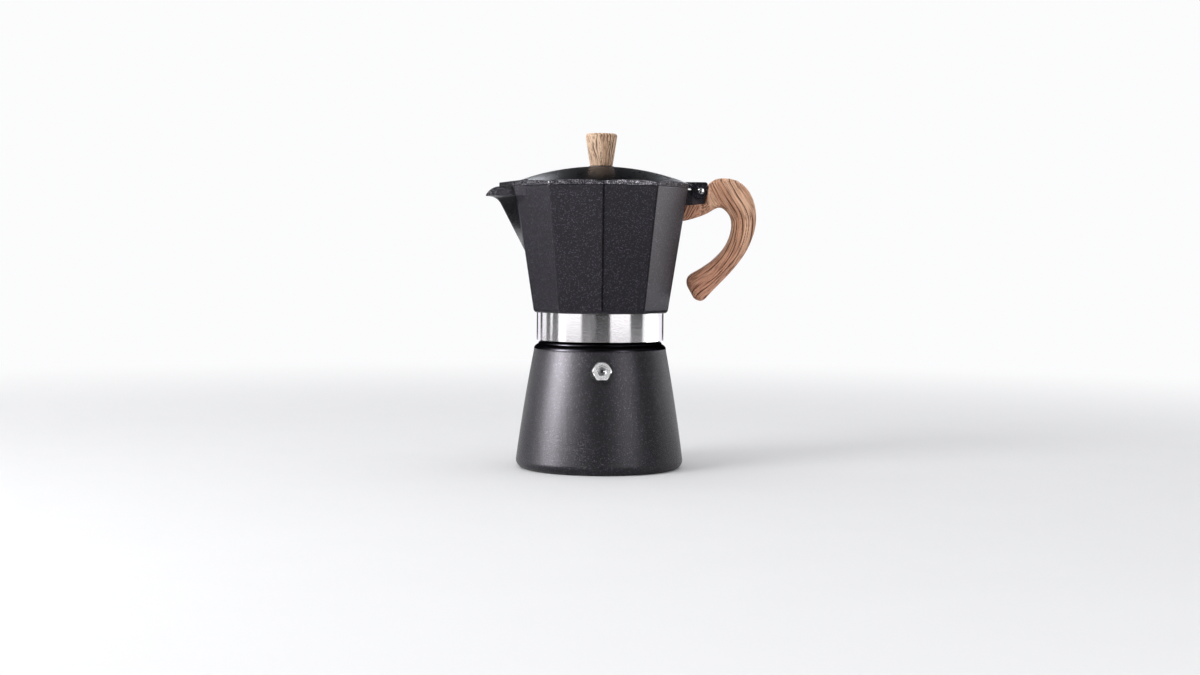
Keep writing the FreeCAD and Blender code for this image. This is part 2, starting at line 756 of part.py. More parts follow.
def lid_knob():
    edge = 1.6
    slope = (KNOB_HEAD_RADIUS - KNOB_FOOT_RADIUS) / (KNOB_TOP - KNOB_FOOT)
    wood = turned(
        (INSERT_RADIUS, KNOB_FOOT), (KNOB_FOOT_RADIUS - 0.5, KNOB_FOOT),
        (KNOB_FOOT_RADIUS, KNOB_FOOT + 0.5),
        (KNOB_HEAD_RADIUS - slope * edge, KNOB_TOP - edge),
        ((KNOB_HEAD_RADIUS - 0.6, KNOB_TOP - 0.5), (KNOB_HEAD_RADIUS - edge, KNOB_TOP)),
        (0, KNOB_TOP), (0, INSERT_TOP), (INSERT_RADIUS, INSERT_TOP),
    )
    return wood


def knob_insert():
    return tube(INSERT_RADIUS - 0.02, KNOB_SCREW_RADIUS + SCREW_GAP, KNOB_FOOT, INSERT_TOP)


def knob_washer():
    low = KNOB_SEAT_Z - WASHER
    return tube(KNOB_SCREW_HEAD + 0.6, KNOB_SCREW_RADIUS + SCREW_GAP, low, KNOB_SEAT_Z)


def knob_screw():
    seat = KNOB_SEAT_Z - WASHER
    return slotted_screw(
        KNOB_SCREW_HEAD, seat - 2.0, seat, KNOB_SCREW_RADIUS, INSERT_TOP - 1.0, 0
    )


PIECES = (
    boiler, valve_body, valve_seal, valve_retainer, valve_piston, valve_spring,
    filter_funnel, funnel_sieve, gasket, filter_plate, upper_chamber, hinge_pin,
    handle, handle_washer, handle_screw, lid, lid_knob, knob_insert, knob_washer,
    knob_screw,
)

os.makedirs("parts", exist_ok=True)
for piece in PIECES:
    shape = piece()
    solids = shape.Solids
    solid = solids[0] if len(solids) == 1 else Part.makeCompound(solids)
    print(piece.__name__, len(solids), solid.isValid(), round(solid.Volume / 1000, 3))
    solid.exportStep("parts/" + piece.__name__ + ".step")
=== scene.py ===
"""Looks of the moka pot: procedural materials, carved wooden pieces, the valve spring and the studio.

Masks, textures and carving are in millimetres in the pot's frame. Bump depths and the studio are in metres.
"""

import math

import bmesh
import bpy
import numpy as np
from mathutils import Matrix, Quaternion, Vector, noise


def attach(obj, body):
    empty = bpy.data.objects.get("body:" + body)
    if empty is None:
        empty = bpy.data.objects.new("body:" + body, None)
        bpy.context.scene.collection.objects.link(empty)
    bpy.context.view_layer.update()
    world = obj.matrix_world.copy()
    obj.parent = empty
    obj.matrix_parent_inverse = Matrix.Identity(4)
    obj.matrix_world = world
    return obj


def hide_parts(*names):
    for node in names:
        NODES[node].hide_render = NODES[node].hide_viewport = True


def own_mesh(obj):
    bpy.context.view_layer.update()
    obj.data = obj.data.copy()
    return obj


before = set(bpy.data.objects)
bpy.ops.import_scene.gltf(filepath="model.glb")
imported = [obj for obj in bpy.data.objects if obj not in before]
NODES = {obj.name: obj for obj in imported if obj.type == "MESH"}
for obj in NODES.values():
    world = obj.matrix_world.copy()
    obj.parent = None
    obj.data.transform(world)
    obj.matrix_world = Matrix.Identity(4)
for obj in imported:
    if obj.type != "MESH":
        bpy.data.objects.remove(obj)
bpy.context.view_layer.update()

MM = 0.001
SCENE = bpy.context.scene
SCENE.view_settings.view_transform = "Standard"


# ---------------------------------------------------------------- material helper
class Shade:
    """A node material under construction. Lengths inside its textures are millimetres."""

    def __init__(self, name):
        self.material = bpy.data.materials.new(name)
        self.material.use_nodes = True
        self.tree = self.material.node_tree
        self.tree.nodes.clear()
        self.out = self.add("ShaderNodeOutputMaterial")
        self.bsdf = self.add("ShaderNodeBsdfPrincipled")
        self.link(self.bsdf.outputs["BSDF"], self.out.inputs["Surface"])
        self.coordinates = self.add("ShaderNodeTexCoord")
        self.place = self.vector("SCALE", self.coordinates.outputs["Object"], scale=1000.0)

    def add(self, kind, **settings):
        node = self.tree.nodes.new(kind)
        for name, value in settings.items():
            setattr(node, name, value)
        return node

    def link(self, source, target):
        self.tree.links.new(source, target)

    def plug(self, socket, value):
        if isinstance(value, bpy.types.NodeSocket):
            self.link(value, socket)
        else:
            socket.default_value = value

    def set(self, **values):
        """Sets sockets of the shader by name, with _ for a space."""
        for name, value in values.items():
            self.plug(self.bsdf.inputs[name.replace("_", " ")], value)

    def vector(self, operation, a, b=None, scale=None):
        node = self.add("ShaderNodeVectorMath", operation=operation)
        self.plug(node.inputs[0], a)
        if b is not None:
            self.plug(node.inputs[1], b)
        if scale is not None:
            self.plug(node.inputs["Scale"], scale)
        answer = "Value" if operation in ("LENGTH", "DOT_PRODUCT") else "Vector"
        return node.outputs[answer]

    def math(self, operation, a, b=None, c=None):
        node = self.add("ShaderNodeMath", operation=operation)
        for socket, value in zip(node.inputs, (a, b, c)):
            if value is not None:
                self.plug(socket, value)
        return node.outputs[0]

    def remap(self, value, low, high, to_low=0.0, to_high=1.0):
        """A smooth step from to_low at low to to_high at high."""
        node = self.add("ShaderNodeMapRange", interpolation_type="SMOOTHSTEP")
        for name, number in (
            ("Value", value),
            ("From Min", low),
            ("From Max", high),
            ("To Min", to_low),
            ("To Max", to_high),
        ):
            self.plug(node.inputs[name], number)
        return node.outputs["Result"]

    def mix(self, factor, a, b):
        node = self.add("ShaderNodeMix", data_type="RGBA")
        self.plug(node.inputs[0], factor)
        self.plug(node.inputs[6], a)
        self.plug(node.inputs[7], b)
        return node.outputs[2]

    def blend(self, factor, a, b):
        """Two numbers mixed."""
        node = self.add("ShaderNodeMix", data_type="FLOAT")
        self.plug(node.inputs[0], factor)
        self.plug(node.inputs[2], a)
        self.plug(node.inputs[3], b)
        return node.outputs[0]

    def noise(self, vector, scale, detail=2.0, roughness=0.5):
        node = self.add("ShaderNodeTexNoise")
        self.plug(node.inputs["Vector"], vector)
        self.plug(node.inputs["Scale"], scale)
        self.plug(node.inputs["Detail"], detail)
        self.plug(node.inputs["Roughness"], roughness)
        return node.outputs["Fac"]

    def cells(self, vector, scale):
        """A random number for each small cell."""
        node = self.add("ShaderNodeTexVoronoi")
        self.plug(node.inputs["Vector"], vector)
        self.plug(node.inputs["Scale"], scale)
        split = self.add("ShaderNodeSeparateColor")
        self.link(node.outputs["Color"], split.inputs[0])
        return split.outputs[0]

    def split(self, vector):
        node = self.add("ShaderNodeSeparateXYZ")
        self.plug(node.inputs[0], vector)
        return node.outputs[0], node.outputs[1], node.outputs[2]

    def join(self, x, y, z):
        node = self.add("ShaderNodeCombineXYZ")
        for socket, value in zip(node.inputs, (x, y, z)):
            self.plug(socket, value)
        return node.outputs[0]

    def below(self, value, limit):
        return self.math("LESS_THAN", value, limit)

    def above(self, value, limit):
        return self.math("GREATER_THAN", value, limit)

    def both(self, *masks):
        """Masks multiplied."""
        product = masks[0]
        for mask in masks[1:]:
            product = self.math("MULTIPLY", product, mask)
        return product

    def either(self, a, b):
        return self.math("MAXIMUM", a, b)

    def radius(self):
        """Distance from the pot's axis, and height."""
        x, y, z = self.split(self.place)
        return self.vector("LENGTH", self.join(x, y, 0.0)), z

    def bump(self, height, distance, strength):
        node = self.add("ShaderNodeBump")
        self.plug(node.inputs["Strength"], strength)
        self.plug(node.inputs["Distance"], distance)
        self.plug(node.inputs["Height"], height)
        return node.outputs["Normal"]

    def glow(self, colour, strength=1.0):
        """An emission shader's output."""
        node = self.add("ShaderNodeEmission")
        self.plug(node.inputs["Color"], colour)
        self.plug(node.inputs["Strength"], strength)
        return node.outputs[0]


def assign(node, shade):
    """Gives one CAD node one material."""
    mesh = NODES[node].data
    mesh.materials.clear()
    mesh.materials.append(shade.material)


# ---------------------------------------------------------------- materials
CHARCOAL = (0.0090, 0.0082, 0.0112)
FLAKE = (0.30, 0.28, 0.36, 1)
PAINT_TINT = (0.96, 0.92, 1.0, 1)
POLISHED = (0.955, 0.935, 0.960, 1)
# Near-black painted shade for the chamber's spout and upright edges.
PAINTED_SHADE_BLACK = (0.004, 0.004, 0.005, 1)
SHOULDER = (0.016, 0.015, 0.018, 1)
# A dark specular tint for the boiler's shoulder: painted shade on its reflections.
SHOULDER_SHADE_TINT = (0.20, 0.19, 0.22, 1)
# A lighter grey-violet for the chamber's bracket: painted light that stands in for the light it reflects.
BRACKET_PAINTED_LIGHT = (0.115, 0.100, 0.120, 1)
GLITTER = (0.55, 0.52, 0.58, 1)
DOME = (0.050, 0.051, 0.056, 1)
DOME_TINT = (0.56, 0.57, 0.59, 1)

# Where each finish starts and ends: radii from the pot's axis, and heights. The boiler's flank leans
# in by its slope, and its bare inside starts a wall's thickness inside it.
BOILER_SLOPE = -0.1605
BOILER_FLANK = 50.9 - 1.5
BOILER_SHELF = 71.0
BOILER_FLOOR = 1.5
FOOT_RADIUS = 43.0
FOOT_TOP = 7.0
SHOULDER_BORE = 36.2
SHOULDER_UNDERSIDE = 74.2
SHOULDER_RISE = (70.9, 71.8)
NECK_BORE = 31.4
NECK_FOOT = 77.4

# A wall's radius where the chamber's sides start, and how fast it grows with height.
CHAMBER_FOOT = 93.1
CHAMBER_INSIDE = (39.1, 0.1560)
CHAMBER_FLAT = (39.64, 0.1524)
CHAMBER_FLOOR = 95.5
RIM = 166.6
SKIRT_TOP = 95.6
SKIRT_RADII = (36.4, 38.12)
SPOUT_FOOT = 98.0
WALL_FOOT = 95.0
BRACKET_LIGHT_START = (53.9, 54.7)
SIDES = 10
LID_FLAT = 54.5


def charcoal(factor):
    """The paint's base colour, lighter or darker."""
    return [part * factor for part in CHARCOAL] + [1]


def paint_layers(shade, painted_light_factor=1.0, rarity=0.78):
    """Charcoal paint with fine metal flakes: colour, roughness, flake share, height; its brightness factor
    is painted light and shade.
    """
    grain = shade.noise(shade.place, 1.25, 4.0, 0.75)
    cloud = shade.noise(shade.place, 0.06, 2.0)
    flake_number = shade.cells(shade.place, 2.2)
    flake = shade.remap(flake_number, rarity, 1.0, 0.0, 0.85)
    base = shade.mix(cloud, charcoal(0.85 * painted_light_factor), charcoal(1.25 * painted_light_factor))
    colour = shade.mix(shade.math("MULTIPLY", flake, 0.26), base, FLAKE)
    rough = shade.blend(grain, 0.24, 0.42)
    height = shade.math("ADD", grain, shade.math("MULTIPLY", flake_number, 0.45))
    return colour, rough, flake, height


def cast_layers(shade):
    """Bare cast aluminium: colour, roughness, height."""
    blotch = shade.noise(shade.place, 0.25, 4.0)
    pits = shade.noise(shade.place, 2.6, 3.0)
    colour = shade.mix(blotch, (0.50, 0.50, 0.51, 1), (0.72, 0.72, 0.72, 1))
    rough = shade.blend(blotch, 0.30, 0.46)
    return colour, rough, pits


def boiler_inside(shade, r, z):
    """1 where the boiler is bare metal: its inside and its neck."""
    flank = shade.math("MULTIPLY_ADD", z, BOILER_SLOPE, BOILER_FLANK)
    inside = shade.below(r, NECK_BORE)
    for wall, top in ((flank, BOILER_SHELF), (SHOULDER_BORE, SHOULDER_UNDERSIDE)):
        inside = shade.either(inside, shade.both(shade.below(r, wall), shade.below(z, top)))
    hollow = shade.either(shade.below(r, FOOT_RADIUS), shade.above(z, FOOT_TOP))
    inside = shade.both(inside, hollow, shade.above(z, BOILER_FLOOR))
    return shade.either(inside, shade.above(z, NECK_FOOT))


def boiler_material():
    shade = Shade("boiler_paint")
    r, z = shade.radius()
    bare = boiler_inside(shade, r, z)
    shoulder = shade.remap(z, *SHOULDER_RISE)
    # The paint's brightness here, 0.40, is painted shade: the boiler gets a darker copy of the chamber's
    # paint.
    colour, rough, flake, height = paint_layers(shade, 0.40, 0.85)
    cast_colour, cast_rough, pits = cast_layers(shade)
    # The shoulder is black gloss. Its dark metal colour and its dark specular tint are painted shade as
    # well: they damp its reflections at grazing angles.
    colour = shade.mix(shoulder, colour, SHOULDER)
    rough = shade.blend(shoulder, rough, 0.27)
    height = shade.blend(shoulder, height, 0.5)
    metal = shade.blend(shoulder, shade.math("MULTIPLY_ADD", flake, 0.4, 0.15), 1.0)
    painted_shoulder = shade.math("SUBTRACT", shoulder, bare)
    shade.set(
        Base_Color=shade.mix(bare, colour, cast_colour),
        Roughness=shade.blend(bare, rough, cast_rough),
        Metallic=shade.blend(bare, metal, 1.0),
        Normal=shade.bump(shade.blend(bare, height, pits), 0.00014, 0.9),
        Specular_IOR_Level=0.42,
        Specular_Tint=shade.mix(painted_shoulder, PAINT_TINT, SHOULDER_SHADE_TINT),
    )
    return shade


def chamber_edges(shade, x, y, r):
    """Painted shade on the upright edges between the chamber's flat sides: 0.62 on an edge, falling to 0
    within 0.85 mm beside it.
    """
    turn = shade.math("MULTIPLY_ADD", shade.math("ARCTAN2", y, x), SIDES / math.tau, 0.5)
    share = shade.math("ABSOLUTE", shade.math("SUBTRACT", shade.math("FRACT", turn), 0.5))
    angle = shade.math("MULTIPLY", shade.math("SUBTRACT", 0.5, share), math.tau / SIDES)
    return shade.remap(shade.math("MULTIPLY", angle, r), 0.30, 0.85, 0.62, 0.0)


def chamber_material():
    shade = Shade("chamber_paint")
    x, y, _ = shade.split(shade.place)
    r, z = shade.radius()
    base, slope = CHAMBER_INSIDE
    wall = shade.math("MULTIPLY_ADD", z, slope, base - CHAMBER_FOOT * slope)
    inside = shade.both(shade.below(r, wall), shade.above(z, CHAMBER_FLOOR), shade.below(z, RIM))
    skirt_inner, skirt_outer = SKIRT_RADII
    low = shade.both(shade.below(r, skirt_outer), shade.below(z, SKIRT_TOP))
    bare = shade.either(inside, low)
    polished = shade.both(low, shade.above(r, skirt_inner))
    base, slope = CHAMBER_FLAT
    flat_side = shade.math("MULTIPLY_ADD", z, slope, base - CHAMBER_FOOT * slope)
    # Painted shade: the spout, where it stands out from the flat side it grows from, is darkened towards
    # near-black above SPOUT_FOOT.
    spout_shade = shade.remap(shade.math("ADD", x, flat_side), -1.0, -0.15, 1.0, 0.0)
    spout_shade = shade.both(spout_shade, shade.above(z, SPOUT_FOOT))
    # Painted light: the bracket's side, from x = 54 mm on, is lightened to a grey-violet that stands in for
    # the light it reflects.
    bracket_light = shade.remap(x, *BRACKET_LIGHT_START)
    painted = shade.math("SUBTRACT", 1.0, bare)
    edge_shade = shade.both(chamber_edges(shade, x, y, r), shade.above(z, WALL_FOOT), painted)
    ripple = shade.noise(shade.place, 0.95, 4.0, 0.7)
    turning = shade.noise(shade.join(0.0, 0.0, z), 5.0, 3.0)
    dented = shade.math("MULTIPLY_ADD", turning, 0.10, shade.math("MULTIPLY", ripple, 0.42))

    # The paint's brightness here, 1.25, is painted light: the chamber gets a lighter copy of the boiler's
    # and lid's paint.
    colour, rough, flake, height = paint_layers(shade, 1.25)
    cast_colour, cast_rough, pits = cast_layers(shade)
    colour = shade.mix(bare, colour, cast_colour)
    colour = shade.mix(polished, colour, POLISHED)
    colour = shade.mix(shade.math("MULTIPLY", bracket_light, 0.55), colour, BRACKET_PAINTED_LIGHT)
    # Painted shade darkens the spout.
    colour = shade.mix(shade.math("MULTIPLY", spout_shade, 0.72), colour, PAINTED_SHADE_BLACK)
    # Painted shade darkens the upright edges and makes them metal, so that their rounding gives no bright
    # reflection.
    colour = shade.mix(edge_shade, colour, PAINTED_SHADE_BLACK)
    rough = shade.blend(bare, rough, cast_rough)
    rough = shade.blend(spout_shade, rough, 0.16)
    rough = shade.blend(polished, rough, shade.blend(ripple, 0.03, 0.15))
    metal = shade.blend(bare, shade.math("MULTIPLY_ADD", flake, 0.4, 0.12), 1.0)
    height = shade.blend(bare, height, pits)
    height = shade.blend(polished, height, dented)
    shade.set(
        Base_Color=colour,
        Roughness=rough,
        Metallic=shade.either(metal, edge_shade),
        Normal=shade.bump(height, 0.00007, 0.7),
        Specular_IOR_Level=0.36,
        Specular_Tint=PAINT_TINT,
    )
    return shade


def lid_material():
    """Dull paint with glitter on the lid's sides, and a dark gloss on its dome."""
    shade = Shade("lid_paint")
    r, _ = shade.radius()
    # The paint's brightness here, 0.8, is painted shade: the lid gets a darker copy of the chamber's paint.
    colour, rough, _, height = paint_layers(shade, 0.8)
    up = shade.split(shade.coordinates.outputs["Normal"])[2]
    dome = shade.remap(up, 0.75, 0.88)
    outward = shade.remap(up, -0.5, -0.2)
    side = shade.both(shade.math("SUBTRACT", 1.0, dome), shade.below(r, LID_FLAT), outward)
    cloud = shade.noise(shade.place, 0.09, 4.0, 0.6)
    glitter = shade.both(shade.remap(shade.cells(shade.place, 2.7), 0.70, 0.97), side)
    colour = shade.mix(shade.math("MULTIPLY", glitter, 0.55), colour, GLITTER)
    relief = shade.blend(dome, height, shade.math("MULTIPLY", height, 0.1))
    shade.set(
        Base_Color=shade.mix(dome, colour, DOME),
        Roughness=shade.blend(dome, shade.math("MULTIPLY", rough, 0.85), shade.blend(cloud, 0.24, 0.32)),
        Metallic=shade.either(shade.math("MULTIPLY", glitter, 0.6), dome),
        Normal=shade.bump(relief, 0.00006, 0.7),
        Specular_IOR_Level=0.25,
        Specular_Tint=DOME_TINT,
    )
    return shade


def metal_material(name, colour, rough_low, rough_high, grain=1.2, relief=0.00002):
    """Plain metal with faint machining and small smudges."""
    shade = Shade(name)
    smudge = shade.noise(shade.place, 0.5, 4.0)
    fine = shade.noise(shade.place, grain, 3.0)
    deeper_tone = [c * 0.86 for c in colour[:3]] + [1]
    shade.set(
        Base_Color=shade.mix(smudge, deeper_tone, colour),
        Roughness=shade.blend(smudge, rough_low, rough_high),
        Metallic=1.0,
        Normal=shade.bump(fine, relief, 0.6),
    )
    return shade


def spun_material(name):
    """Aluminium turned on a lathe, with rings round the axis."""
    shade = Shade(name)
    r, z = shade.radius()
    rings = shade.noise(shade.join(r, 0.0, shade.math("MULTIPLY", z, 0.7)), 3.2, 3.0)
    smudge = shade.noise(shade.place, 0.12, 4.0)
    shade.set(
        Base_Color=shade.mix(smudge, (0.60, 0.60, 0.61, 1), (0.80, 0.80, 0.80, 1)),
        Roughness=shade.blend(rings, 0.22, 0.38),
        Metallic=1.0,
        Normal=shade.bump(rings, 0.00003, 0.5),
    )
    return shade


def rubber_material(name, dark, light, rough):
    shade = Shade(name)
    dust = shade.noise(shade.place, 0.8, 4.0)
    pores = shade.noise(shade.place, 4.0, 3.0)
    shade.set(
        Base_Color=shade.mix(dust, dark, light),
        Roughness=shade.blend(pores, rough - 0.06, rough + 0.08),
        Normal=shade.bump(pores, 0.00004, 0.4),
    )
    return shade


def wood_material(name, light, deep, dark, red=None):
    """Wood read from the piece's own grain attributes: fibre place and groove depth."""
    shade = Shade(name)
    fibre = shade.add("ShaderNodeAttribute", attribute_name="fibre").outputs["Vector"]
    groove = shade.add("ShaderNodeAttribute", attribute_name="groove").outputs["Fac"]
    across, thick, along = shade.split(fibre)
    stretched = shade.join(across, thick, shade.math("MULTIPLY", along, 0.05))
    longer = shade.join(across, thick, shade.math("MULTIPLY", along, 0.02))
    streak = shade.noise(stretched, 2.6, 4.0, 0.65)
    band = shade.noise(longer, 0.32, 3.0, 0.6)
    pore = shade.remap(shade.noise(stretched, 5.5, 2.0), 0.62, 0.74)
    colour = shade.mix(shade.remap(band, 0.35, 0.68), light, deep)
    if red is not None:
        x, _, z = shade.split(shade.place)
        # Redder and darker towards the bottom of the handle and towards its tongue.
        deeper_tone = shade.either(shade.remap(z, 108.0, 146.0, 1.0, 0.0), shade.remap(x, 55.0, 68.0, 1.0, 0.0))
        colour = shade.mix(shade.math("MULTIPLY", deeper_tone, 0.75), colour, red)
    colour = shade.mix(shade.math("MULTIPLY", shade.remap(streak, 0.46, 0.70), 0.40), colour, dark)
    colour = shade.mix(shade.math("MULTIPLY", pore, 0.35), colour, dark)
    colour = shade.mix(shade.math("MULTIPLY", shade.remap(groove, 0.02, 0.60), 0.96), colour, dark)
    shade.set(
        Base_Color=colour,
        Roughness=shade.blend(streak, 0.58, 0.76),
        Specular_IOR_Level=0.16,
        Normal=shade.bump(streak, 0.00010, 0.35),
    )
    return shade


# ---------------------------------------------------------------- carved wood
GRAIN_LINE = (
    (60.0, 196.0),
    (67.0, 181.0),
    (76.0, 166.0),
    (83.4, 154.0),
    (84.6, 145.0),
    (81.0, 131.0),
    (71.5, 116.5),
    (59.5, 105.5),
    (46.0, 94.0),
)
BATCH = 4000


def smooth_line(points, steps):
    """A fine Catmull-Rom line through points."""
    padded = [np.array(p, float) for p in (points[0],) + tuple(points) + (points[-1],)]
    line = []
    for k in range(len(padded) - 3):
        a, b, c, d = padded[k : k + 4]
        for t in np.linspace(0.0, 1.0, steps, endpoint=False):
            square = (2 * a - 5 * b + 4 * c - d) * t**2
            cube = (3 * b - a - 3 * c + d) * t**3
            line.append(0.5 * (2 * b + (c - a) * t + square + cube))
    line.append(padded[-2])
    return np.array(line)


def step(values, low, high):
    t = np.clip((values - low) / (high - low), 0.0, 1.0)
    return t * t * (3.0 - 2.0 * t)


def handle_rows(p):
    """Distances of the handle's points across and along its grain line, and the line's length, in mm."""
    line = smooth_line(GRAIN_LINE, 24)
    run = np.concatenate(([0.0], np.cumsum(np.linalg.norm(np.diff(line, axis=0), axis=1))))
    flat = p[:, (0, 2)]
    nearest = np.empty(len(flat), int)
    for k in range(0, len(flat), BATCH):
        gap = flat[k : k + BATCH, None, :] - line[None, :, :]
        nearest[k : k + BATCH] = (gap**2).sum(2).argmin(1)
    tangent = np.gradient(line, axis=0)
    tangent /= np.linalg.norm(tangent, axis=1)[:, None]
    away = flat - line[nearest]
    t = tangent[nearest]
    across = away[:, 0] * t[:, 1] - away[:, 1] * t[:, 0]
    along = run[nearest] + (away * t).sum(1)
    return across, along, run[-1]


def handle_fibre(p):
    """Fibre place (across, thickness, along) of points on the handle, in millimetres."""
    across, along, length = handle_rows(p)
    x, z = p[:, 0], p[:, 2]
    across = across * (1.0 - 0.28 * step(along, length * 0.62, length))
    tongue = 1.0 - step(x + 0.35 * (z - 155.0), 58.0, 67.0)
    tongue *= step(z, 134.0, 142.0)
    across = across * (1 - tongue) + (0.90 * x - 0.42 * z) * tongue
    along = along * (1 - tongue) + (-0.42 * x - 0.90 * z) * tongue
    return np.stack((across, p[:, 1] * 0.8, along), axis=1)


def round_handle(p):
    """Rounds the handle's section and slims its grip, away from the hinge."""
    across, along, length = handle_rows(p)
    x, z = p[:, 0], p[:, 2]
    free = np.maximum(step(x, 63.0, 74.0), 1.0 - step(z, 122.0, 134.0))
    marks = np.arange(along.min() + 2.0, along.max() - 1.0, 3.0)
    reach = []
    for mark in marks:
        here = across[(np.abs(along - mark) < 2.0) & (free > 0.2)]
        reach.append((here.min(), here.max()) if len(here) > 8 else (-9.0, 9.0))
    low = np.interp(along, marks, [r[0] for r in reach])
    high = np.interp(along, marks, [r[1] for r in reach])
    side = np.clip(np.abs(across - (low + high) / 2) / ((high - low) / 2), 0.0, 1.0)
    grip = 1.0 - step(z, 150.0, 168.0)
    slim = 1.0 - 0.14 * grip + 0.08 * (1.0 - step(z, 102.0, 116.0))
    factor = slim * (1.0 - 0.36 * side**2.4)
    rounded = p.copy()
    rounded[:, 1] *= 1.0 - free * (1.0 - factor)
    return rounded


KNOB_FOOT = 180.0


def knob_fibre(p):
    """Fibre place of points on the knob: upright lines with a lazy sideways sweep."""
    x, y, z = p[:, 0], p[:, 1], p[:, 2] - KNOB_FOOT
    spread = 7.6 / (6.8 + 0.15 * z)
    sweep = 1.6 * np.sin(z * 0.17 + x * 0.22) + 0.10 * z
    return np.stack((x * spread + sweep, y * spread - 0.5 * sweep, z * 1.6), axis=1)


def grooves(fibre, seed, pitch, share, length):
    """Depth 0 to 1 of the long grooves that run along the fibre, a pitch apart."""
    deep = np.zeros(len(fibre))
    shift = Vector((seed * 17.3, seed * 5.9, seed * 9.1))
    for k, (a, b, c) in enumerate(fibre):
        side = a + 0.7 * b
        wide = noise.noise(Vector((side / 9.0, b / 14.0, c / length)) + shift)
        near = noise.noise(Vector((side / 2.6, b / 8.0, c / (length * 0.36))) - shift)
        phase = side / pitch + 1.7 * wide + 0.75 * near
        ridge = abs((phase % 1.0) * 2.0 - 1.0)
        fade = 0.62 + 1.35 * noise.noise(Vector((side / 1.9, b / 6.0, c / (length * 0.55))) + shift * 1.3)
        fine = noise.noise(Vector((side / 0.75, b / 0.9, c / (length * 0.30))) + shift * 0.7)
        line = max(0.0, 1.0 - (1.0 - ridge) / share) * min(1.0, max(0.06, fade))
        deep[k] = max(line, 0.42 * max(0.0, 1.0 - abs(fine) / 0.22))
    return deep


def remeshed(node, name, voxel):
    """An even, fine mesh of a CAD node's shape."""
    mesh = NODES[node].data.copy()
    bm = bmesh.new()
    bm.from_mesh(mesh)
    bmesh.ops.remove_doubles(bm, verts=bm.verts, dist=1e-6)
    bm.to_mesh(mesh)
    bm.free()
    rough = bpy.data.objects.new("rough_" + name, mesh)
    SCENE.collection.objects.link(rough)
    remesh = rough.modifiers.new("Remesh", "REMESH")
    remesh.mode = "VOXEL"
    remesh.voxel_size = voxel
    even = bpy.data.meshes.new_from_object(rough.evaluated_get(bpy.context.evaluated_depsgraph_get()))
    bpy.data.objects.remove(rough)
    return even


def carved(node, name, voxel, smoothing, fibre_of, seed, pitch, share, length, depth, shape=None):
    """A fine-meshed wooden piece in place of a CAD node, with its grain cut into it."""
    even = remeshed(node, name, voxel)
    bm = bmesh.new()
    bm.from_mesh(even)
    every_axis = {"use_axis_x": True, "use_axis_y": True, "use_axis_z": True}
    for _ in range(smoothing):
        bmesh.ops.smooth_vert(bm, verts=bm.verts, factor=0.5, **every_axis)
    place = np.array([v.co[:] for v in bm.verts]) / MM
    fibre = fibre_of(place)
    if shape is not None:
        for v, to in zip(bm.verts, shape(place)):
            v.co = Vector(to) * MM
    bm.normal_update()
    deep = grooves(fibre, seed, pitch, share, length)
    for v, d in zip(bm.verts, deep):
        v.co -= v.normal * float(d) * depth * MM
    bm.to_mesh(even)
    bm.free()
    fibres = even.attributes.new("fibre", "FLOAT_VECTOR", "POINT")
    fibres.data.foreach_set("vector", fibre.astype(np.float32).ravel())
    depths = even.attributes.new("groove", "FLOAT", "POINT")
    depths.data.foreach_set("value", deep.astype(np.float32))
    even.polygons.foreach_set("use_smooth", [True] * len(even.polygons))
    even.materials.clear()
    piece = bpy.data.objects.new(name, even)
    SCENE.collection.objects.link(piece)
    return piece


handle_wood = wood_material(
    "handle_wood",
    light=(0.74, 0.46, 0.31, 1),
    deep=(0.52, 0.27, 0.165, 1),
    dark=(0.080, 0.026, 0.014, 1),
    red=(0.60, 0.29, 0.19, 1),
)
handle = carved(
    "handle",
    "carved_handle",
    voxel=0.36 * MM,
    smoothing=5,
    fibre_of=handle_fibre,
    seed=3,
    pitch=1.9,
    share=0.46,
    length=60.0,
    depth=0.50,
    shape=round_handle,
)
handle.data.materials.append(handle_wood.material)
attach(handle, "chamber")
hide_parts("handle")

knob_wood = wood_material(
    "knob_wood",
    light=(0.85, 0.61, 0.43, 1),
    deep=(0.63, 0.41, 0.27, 1),
    dark=(0.10, 0.045, 0.025, 1),
)
knob = carved(
    "lid_knob",
    "carved_knob",
    voxel=0.28 * MM,
    smoothing=3,
    fibre_of=knob_fibre,
    seed=8,
    pitch=1.7,
    share=0.50,
    length=34.0,
    depth=0.50,
)
knob.data.materials.append(knob_wood.material)
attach(knob, "lid")
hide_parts("lid_knob")

# ---------------------------------------------------------------- CAD nodes
assign("boiler", boiler_material())
assign("upper_chamber", chamber_material())
assign("lid", lid_material())
chrome = metal_material("valve_metal", (0.95, 0.95, 0.96, 1), 0.12, 0.24)
steel = metal_material("valve_steel", (0.46, 0.46, 0.48, 1), 0.20, 0.36)
